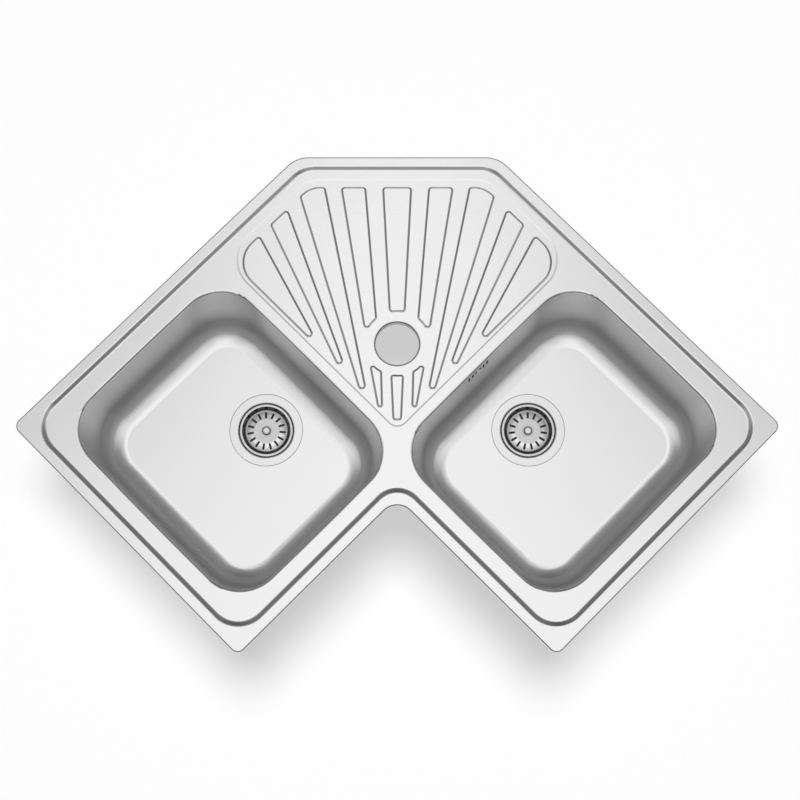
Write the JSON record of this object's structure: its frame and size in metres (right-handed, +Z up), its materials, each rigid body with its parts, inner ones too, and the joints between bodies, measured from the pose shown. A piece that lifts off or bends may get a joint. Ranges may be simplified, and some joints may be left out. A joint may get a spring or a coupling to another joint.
{
  "type": "corner kitchen sink",
  "caption": "Inset steel corner sink: a bowl with a basket waste in each arm, a ribbed drainer and tap hole between them, an overflow, and clips under the edge.",
  "frame": {"origin": "on the tap hole's axis, in the worktop's top plane", "axes": "+X to the right arm, +Y to the cut-off back corner, +Z up out of the worktop"},
  "size_m": [1.163, 0.7721, 0.2346],
  "materials": {
    "satin_steel": "satin stainless steel sheet, fine grain",
    "polished_steel": "polished stainless steel",
    "zinc_steel": "zinc-plated steel",
    "black_plastic": "moulded black polypropylene",
    "black_rubber": "moulded black rubber",
    "seal_foam": "closed-cell foam strip",
    "damping_pad": "bitumen sound-damping pad"
  },
  "bodies": {
    "sink": {"deck": "satin_steel", "left_bowl": "satin_steel", "right_bowl": "satin_steel", "rim_seal": "seal_foam", "clip_brackets": "zinc_steel", "left_waste_flange": "polished_steel", "left_flange_gasket": "black_rubber", "left_body_gasket": "black_rubber", "left_waste_body": "black_plastic", "left_waste_screw": "polished_steel", "left_damping_pad": "damping_pad", "right_waste_flange": "polished_steel", "right_flange_gasket": "black_rubber", "right_body_gasket": "black_rubber", "right_waste_body": "black_plastic", "right_waste_screw": "polished_steel", "right_damping_pad": "damping_pad", "overflow_gasket": "black_rubber", "overflow_housing": "black_plastic", "overflow_screw": "polished_steel", "overflow_pipe": "black_plastic"},
    "left_stopper": {"left_stopper": "black_rubber"},
    "left_basket": {"left_basket": "polished_steel", "left_basket_knob": "polished_steel", "left_basket_post": "polished_steel"},
    "right_stopper": {"right_stopper": "black_rubber"},
    "right_basket": {"right_basket": "polished_steel", "right_basket_knob": "polished_steel", "right_basket_post": "polished_steel"},
    "clip_screw_1": {"clip_screw_1": "zinc_steel"},
    "clip_claw_1": {"clip_claw_1": "zinc_steel"},
    "clip_screw_2": {"clip_screw_2": "zinc_steel"},
    "clip_claw_2": {"clip_claw_2": "zinc_steel"},
    "clip_screw_3": {"clip_screw_3": "zinc_steel"},
    "clip_claw_3": {"clip_claw_3": "zinc_steel"},
    "clip_screw_4": {"clip_screw_4": "zinc_steel"},
    "clip_claw_4": {"clip_claw_4": "zinc_steel"},
    "clip_screw_5": {"clip_screw_5": "zinc_steel"},
    "clip_claw_5": {"clip_claw_5": "zinc_steel"},
    "clip_screw_6": {"clip_screw_6": "zinc_steel"},
    "clip_claw_6": {"clip_claw_6": "zinc_steel"},
    "clip_screw_7": {"clip_screw_7": "zinc_steel"},
    "clip_claw_7": {"clip_claw_7": "zinc_steel"},
    "clip_screw_8": {"clip_screw_8": "zinc_steel"},
    "clip_claw_8": {"clip_claw_8": "zinc_steel"}
  },
  "joints": [
    {"name": "left_stopper_lift", "type": "slide", "parent": "sink", "child": "left_stopper", "axis": [0, 0, 1], "range_m": [0, 0.19]},
    {"name": "left_basket_turn", "type": "hinge", "parent": "left_stopper", "child": "left_basket", "pos_m": [-0.21022, -0.10819, -0.1542], "axis": [0, 0, 1], "continuous": true},
    {"name": "right_stopper_lift", "type": "slide", "parent": "sink", "child": "right_stopper", "axis": [0, 0, 1], "range_m": [0, 0.19]},
    {"name": "right_basket_turn", "type": "hinge", "parent": "right_stopper", "child": "right_basket", "pos_m": [0.21022, -0.10819, -0.1542], "axis": [0, 0, 1], "continuous": true},
    {"name": "clip_1_tighten", "type": "slide", "parent": "sink", "child": "clip_screw_1", "axis": [0, 0, 1], "range_m": [0, 0.012]},
    {"name": "clip_1_swing", "type": "hinge", "parent": "clip_screw_1", "child": "clip_claw_1", "pos_m": [-0.28496, 0.12537, -0.045], "axis": [0, 0, 1], "range_deg": [0, 90]},
    {"name": "clip_2_tighten", "type": "slide", "parent": "sink", "child": "clip_screw_2", "axis": [0, 0, 1], "range_m": [0, 0.012]},
    {"name": "clip_2_swing", "type": "hinge", "parent": "clip_screw_2", "child": "clip_claw_2", "pos_m": [-0.47164, -0.06131, -0.045], "axis": [0, 0, 1], "range_deg": [0, 90]},
    {"name": "clip_3_tighten", "type": "slide", "parent": "sink", "child": "clip_screw_3", "axis": [0, 0, 1], "range_m": [0, 0.012]},
    {"name": "clip_3_swing", "type": "hinge", "parent": "clip_screw_3", "child": "clip_claw_3", "pos_m": [-0.38916, -0.28097, -0.045], "axis": [0, 0, 1], "range_deg": [0, 90]},
    {"name": "clip_4_tighten", "type": "slide", "parent": "sink", "child": "clip_screw_4", "axis": [0, 0, 1], "range_m": [0, 0.012]},
    {"name": "clip_4_swing", "type": "hinge", "parent": "clip_screw_4", "child": "clip_claw_4", "pos_m": [-0.12707, -0.32103, -0.045], "axis": [0, 0, 1], "range_deg": [0, 90]},
    {"name": "clip_5_tighten", "type": "slide", "parent": "sink", "child": "clip_screw_5", "axis": [0, 0, 1], "range_m": [0, 0.012]},
    {"name": "clip_5_swing", "type": "hinge", "parent": "clip_screw_5", "child": "clip_claw_5", "pos_m": [0.28496, 0.12537, -0.045], "axis": [0, 0, 1], "range_deg": [0, 90]},
    {"name": "clip_6_tighten", "type": "slide", "parent": "sink", "child": "clip_screw_6", "axis": [0, 0, 1], "range_m": [0, 0.012]},
    {"name": "clip_6_swing", "type": "hinge", "parent": "clip_screw_6", "child": "clip_claw_6", "pos_m": [0.47164, -0.06131, -0.045], "axis": [0, 0, 1], "range_deg": [0, 90]},
    {"name": "clip_7_tighten", "type": "slide", "parent": "sink", "child": "clip_screw_7", "axis": [0, 0, 1], "range_m": [0, 0.012]},
    {"name": "clip_7_swing", "type": "hinge", "parent": "clip_screw_7", "child": "clip_claw_7", "pos_m": [0.38916, -0.28097, -0.045], "axis": [0, 0, 1], "range_deg": [0, 90]},
    {"name": "clip_8_tighten", "type": "slide", "parent": "sink", "child": "clip_screw_8", "axis": [0, 0, 1], "range_m": [0, 0.012]},
    {"name": "clip_8_swing", "type": "hinge", "parent": "clip_screw_8", "child": "clip_claw_8", "pos_m": [0.12707, -0.32103, -0.045], "axis": [0, 0, 1], "range_deg": [0, 90]}
  ]
}
